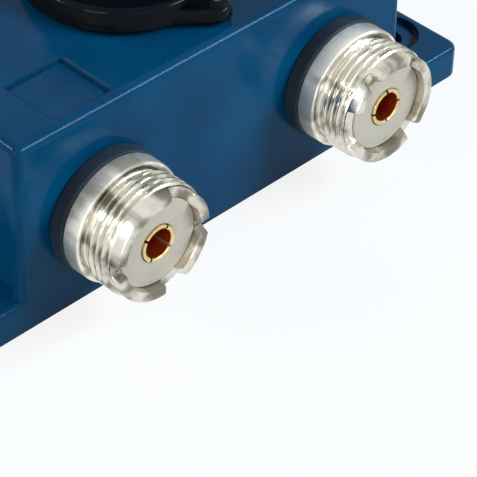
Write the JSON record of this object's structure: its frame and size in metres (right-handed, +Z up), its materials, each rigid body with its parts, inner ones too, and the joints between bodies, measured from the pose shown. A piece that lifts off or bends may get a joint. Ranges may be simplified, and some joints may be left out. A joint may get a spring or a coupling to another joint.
{
  "type": "coaxial antenna switch",
  "caption": "Two-way coaxial switch in a die-cast box with fixing ears: pointer knob on top, antenna sockets in front and a common socket behind.",
  "frame": {"origin": "middle of the underside of the box and ears", "axes": "+X along the ears towards the right-hand antenna socket, -Y out of the face with the two antenna sockets, +Z up along the knob's shaft"},
  "size_m": [0.0942, 0.0594, 0.0432],
  "materials": {
    "blue_paint": "glossy blue enamel over a die-casting",
    "black_plastic": "glossy moulded",
    "nickel": "bright nickel plate on turned brass",
    "gold": "bright gold plate",
    "ptfe": "turned, waxy",
    "brass": "turned",
    "steel": "zinc plated",
    "copper": "stamped copper alloy"
  },
  "bodies": {
    "switch_body": {"housing": "blue_paint", "bottom_cover": "blue_paint", "cover_screws": "steel", "port_1_ring": "black_plastic", "port_1_shell": "nickel", "port_1_insulator": "ptfe", "port_1_contact": "gold", "port_1_nut": "nickel", "port_1_strip": "copper", "port_2_ring": "black_plastic", "port_2_shell": "nickel", "port_2_insulator": "ptfe", "port_2_contact": "gold", "port_2_nut": "nickel", "port_2_strip": "copper", "common_ring": "black_plastic", "common_shell": "nickel", "common_insulator": "ptfe", "common_contact": "gold", "common_nut": "nickel", "common_strip": "copper", "shaft_bush": "brass", "detent_block": "brass", "detent_block_screws": "steel", "detent_ball": "steel", "detent_spring": "steel", "stop_pin": "steel"},
    "knob_shaft": {"knob": "black_plastic", "knob_insert": "brass", "set_screw": "steel", "shaft": "steel", "retaining_clip": "steel", "detent_plate": "steel", "rotor": "ptfe", "rotor_pin": "steel", "contact_blade": "copper"}
  },
  "joints": [
    {"name": "knob_turn", "type": "hinge", "parent": "switch_body", "child": "knob_shaft", "pos_m": [0, 0, 0.0282], "axis": [0, 0, 1], "range_deg": [-20, 0]}
  ]
}
